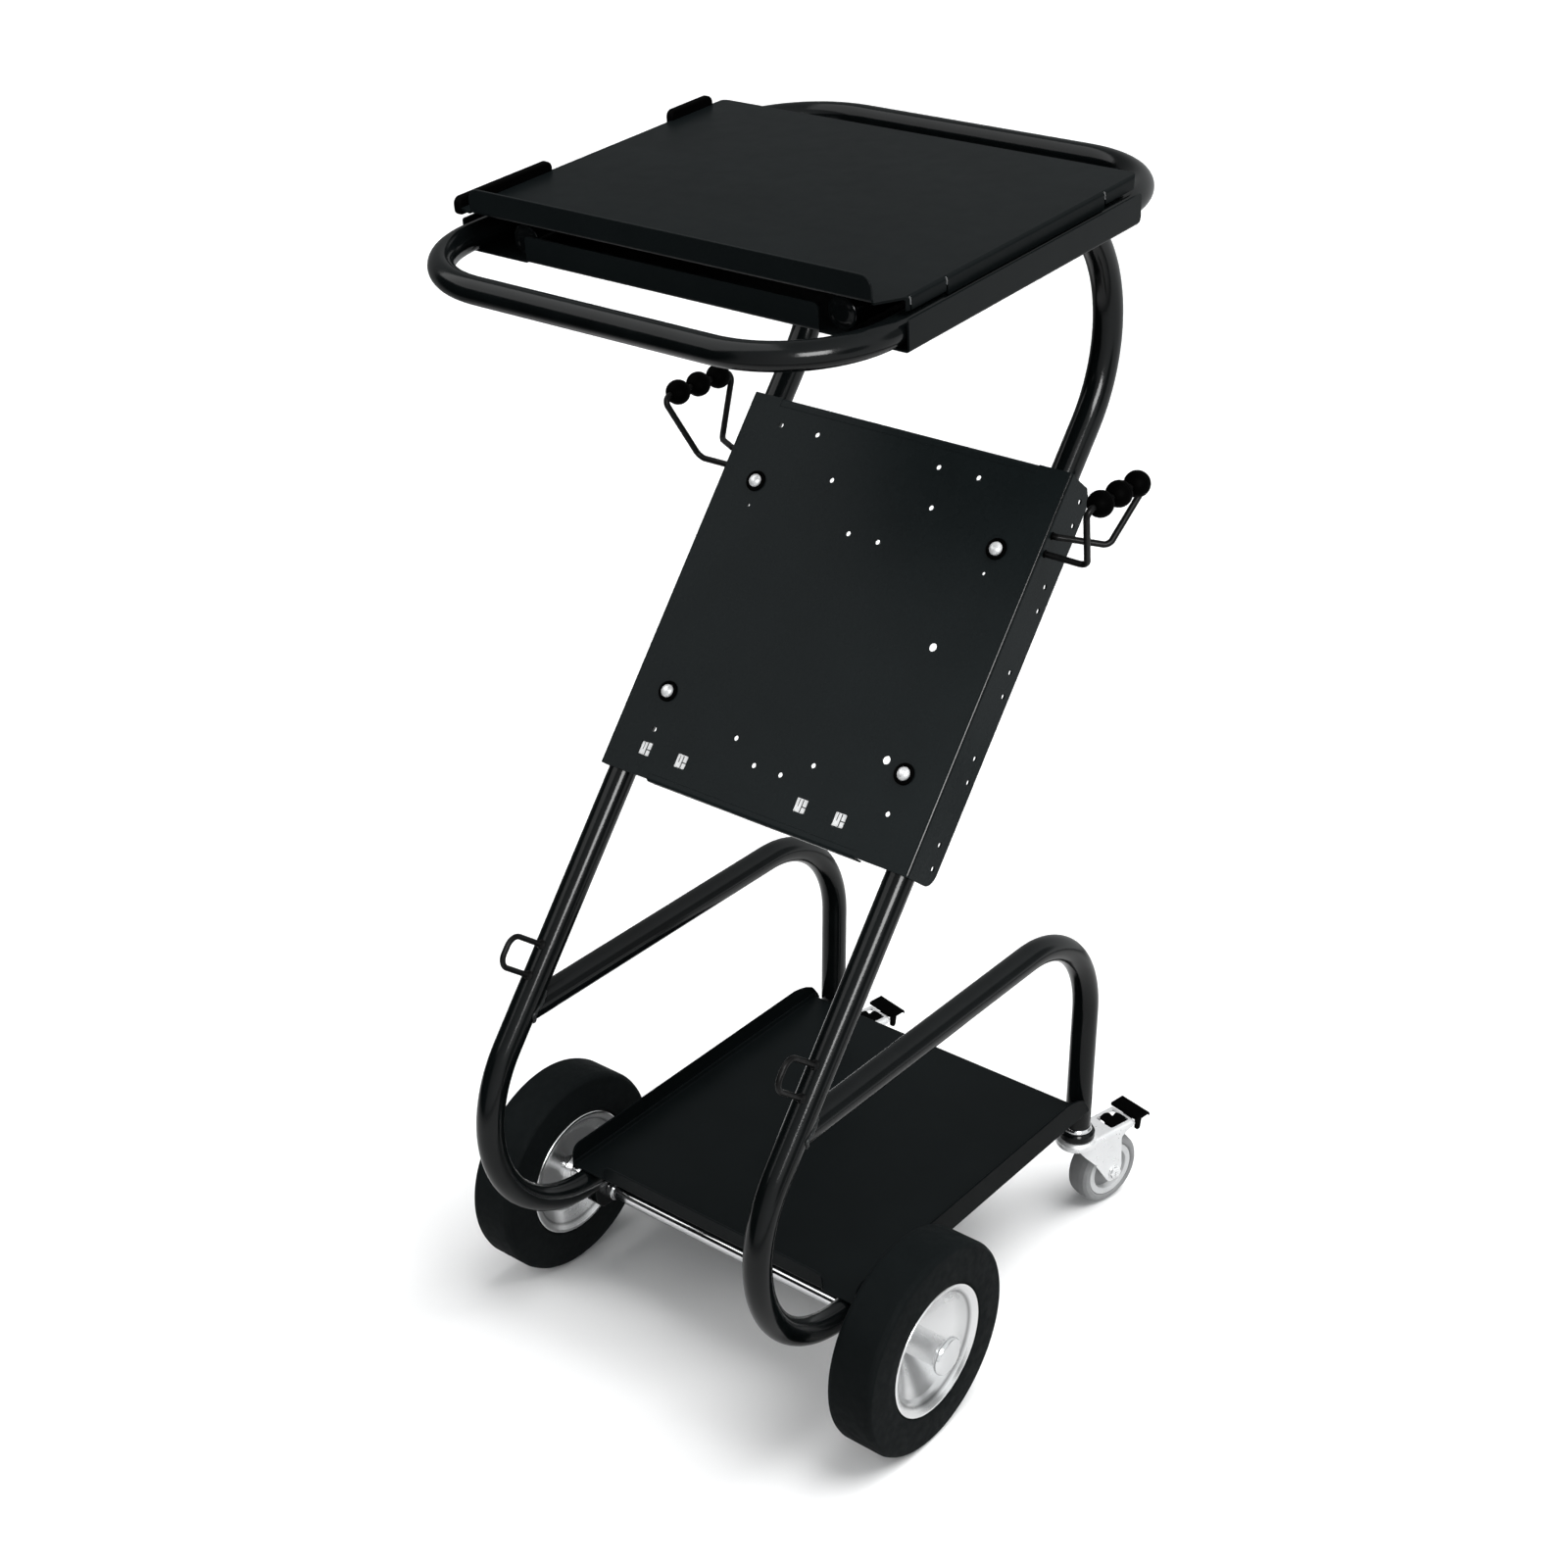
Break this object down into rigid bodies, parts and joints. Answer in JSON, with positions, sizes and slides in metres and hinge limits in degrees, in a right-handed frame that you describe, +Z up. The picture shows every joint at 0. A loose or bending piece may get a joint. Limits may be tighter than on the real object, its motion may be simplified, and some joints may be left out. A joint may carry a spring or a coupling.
{
  "type": "welding cart",
  "caption": "Welding cart: leaning bent-tube frame with a tilted machine shelf, handles, a drilled tool panel with cable hooks, a low bottle tray, large wheels and braked swivel casters.",
  "frame": {"origin": "on the floor under the middle of the object's box", "axes": "+X to the right seen from the large wheels, +Y towards the swivel casters, +Z up"},
  "size_m": [0.4928, 0.602, 1.0747],
  "materials": {
    "black_tube": "gloss powder coat",
    "black_sheet": "satin powder coat",
    "black_wire": "gloss powder coat",
    "black_plastic": "matte",
    "chrome": "polished",
    "zinc": "zinc plated",
    "black_tyre": "matte",
    "grey_tyre": "matte",
    "grey_hub": "satin"
  },
  "bodies": {
    "cart": {"left_upright": "black_tube", "right_upright": "black_tube", "left_hoop": "black_tube", "right_hoop": "black_tube", "near_handle": "black_tube", "far_handle": "black_tube", "shelf_plate": "black_sheet", "shelf_pan": "black_sheet", "tool_panel": "black_sheet", "left_upper_lug": "black_tube", "left_upper_cup_washer": "black_plastic", "left_upper_bolt": "zinc", "right_upper_lug": "black_tube", "right_upper_cup_washer": "black_plastic", "right_upper_bolt": "zinc", "left_lower_lug": "black_tube", "left_lower_cup_washer": "black_plastic", "left_lower_bolt": "zinc", "right_lower_lug": "black_tube", "right_lower_cup_washer": "black_plastic", "right_lower_bolt": "zinc", "left_hook": "black_wire", "left_hook_ball_1": "black_plastic", "left_hook_ball_2": "black_plastic", "left_hook_ball_3": "black_plastic", "right_hook": "black_wire", "right_hook_ball_1": "black_plastic", "right_hook_ball_2": "black_plastic", "right_hook_ball_3": "black_plastic", "left_strap_ring": "black_wire", "right_strap_ring": "black_wire", "bottle_tray": "black_sheet", "axle": "chrome", "left_axle_bracket": "black_tube", "left_axle_collar": "chrome", "left_wheel_cap": "chrome", "right_axle_bracket": "black_tube", "right_axle_collar": "chrome", "right_wheel_cap": "chrome", "left_caster_cup": "black_plastic", "left_caster_collar": "chrome", "right_caster_cup": "black_plastic", "right_caster_collar": "chrome"},
    "left_wheel": {"left_wheel_rim": "zinc", "left_wheel_tyre": "black_tyre"},
    "left_caster": {"left_caster_fork": "zinc", "left_caster_axle_bolt": "zinc"},
    "left_caster_wheel": {"left_caster_hub": "grey_hub", "left_caster_tyre": "grey_tyre"},
    "left_brake_pedal": {"left_caster_pedal": "black_plastic"},
    "right_wheel": {"right_wheel_rim": "zinc", "right_wheel_tyre": "black_tyre"},
    "right_caster": {"right_caster_fork": "zinc", "right_caster_axle_bolt": "zinc"},
    "right_caster_wheel": {"right_caster_hub": "grey_hub", "right_caster_tyre": "grey_tyre"},
    "right_brake_pedal": {"right_caster_pedal": "black_plastic"}
  },
  "joints": [
    {"name": "left_wheel_spin", "type": "hinge", "parent": "cart", "child": "left_wheel", "pos_m": [-0.2083, -0.14138, 0.1006], "axis": [1, 0, 0], "continuous": true},
    {"name": "left_caster_swivel", "type": "hinge", "parent": "cart", "child": "left_caster", "pos_m": [-0.1505, 0.21442, 0.09115], "axis": [0, 0, 1], "continuous": true},
    {"name": "left_caster_wheel_spin", "type": "hinge", "parent": "left_caster", "child": "left_caster_wheel", "pos_m": [-0.14154, 0.25278, 0.0375], "axis": [0.9738, -0.2275, 0], "continuous": true},
    {"name": "left_brake_pedal_press", "type": "hinge", "parent": "left_caster", "child": "left_brake_pedal", "pos_m": [-0.13972, 0.26057, 0.084], "axis": [0.9738, -0.2275, 0], "range_deg": [-10, 0]},
    {"name": "right_wheel_spin", "type": "hinge", "parent": "cart", "child": "right_wheel", "pos_m": [0.2083, -0.14138, 0.1006], "axis": [1, 0, 0], "continuous": true},
    {"name": "right_caster_swivel", "type": "hinge", "parent": "cart", "child": "right_caster", "pos_m": [0.1505, 0.21442, 0.09115], "axis": [0, 0, 1], "continuous": true},
    {"name": "right_caster_wheel_spin", "type": "hinge", "parent": "right_caster", "child": "right_caster_wheel", "pos_m": [0.15946, 0.25278, 0.0375], "axis": [0.9738, -0.2275, 0], "continuous": true},
    {"name": "right_brake_pedal_press", "type": "hinge", "parent": "right_caster", "child": "right_brake_pedal", "pos_m": [0.16128, 0.26057, 0.084], "axis": [0.9738, -0.2275, 0], "range_deg": [-10, 0]}
  ]
}
